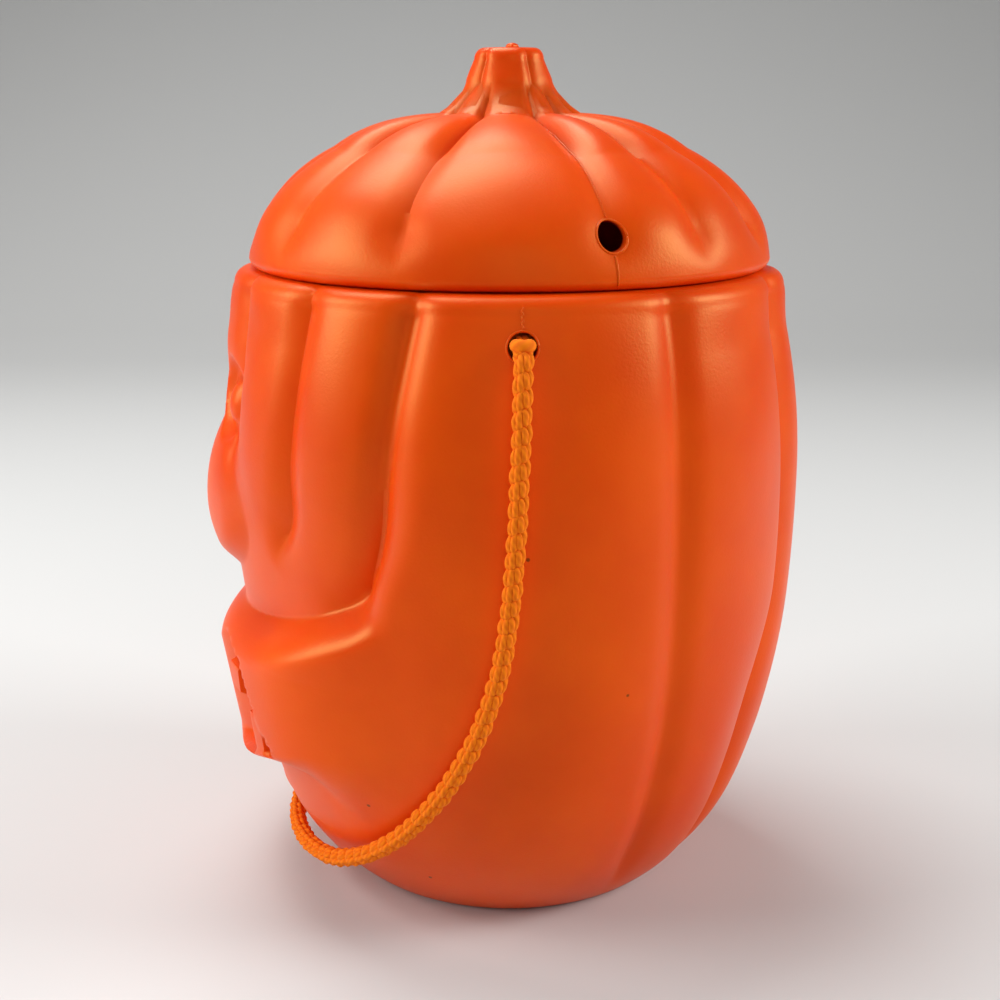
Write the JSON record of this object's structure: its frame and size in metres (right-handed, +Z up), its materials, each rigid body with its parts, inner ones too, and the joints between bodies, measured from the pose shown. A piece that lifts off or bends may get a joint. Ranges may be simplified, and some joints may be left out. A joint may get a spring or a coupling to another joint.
{
  "type": "pumpkin candy pail",
  "caption": "Lidded, ribbed plastic pumpkin pail with a moulded grinning face, a lift-off stemmed lid and a knitted cord handle knotted through its side walls.",
  "frame": {"origin": "middle of the standing ring under the base, on the pail's axis", "axes": "+Z up along the pail's axis, the face towards -Y, the two cord holes on the X axis line"},
  "size_m": [0.178, 0.1665, 0.23],
  "materials": {
    "orange_plastic": "satin",
    "knitted_cord": "knitted"
  },
  "bodies": {
    "pail": {"pail_body": "orange_plastic"},
    "lid": {"lid": "orange_plastic"},
    "handle": {"handle_cord": "knitted_cord", "right_knot": "knitted_cord", "left_knot": "knitted_cord"}
  },
  "joints": [
    {"name": "lid_lift", "type": "slide", "parent": "pail", "child": "lid", "axis": [0, 0, 1], "range_m": [0, 0.065]},
    {"name": "handle_swing", "type": "hinge", "parent": "pail", "child": "handle", "pos_m": [0, 0, 0.1612], "axis": [-1, 0, 0], "range_deg": [0, 157]}
  ]
}
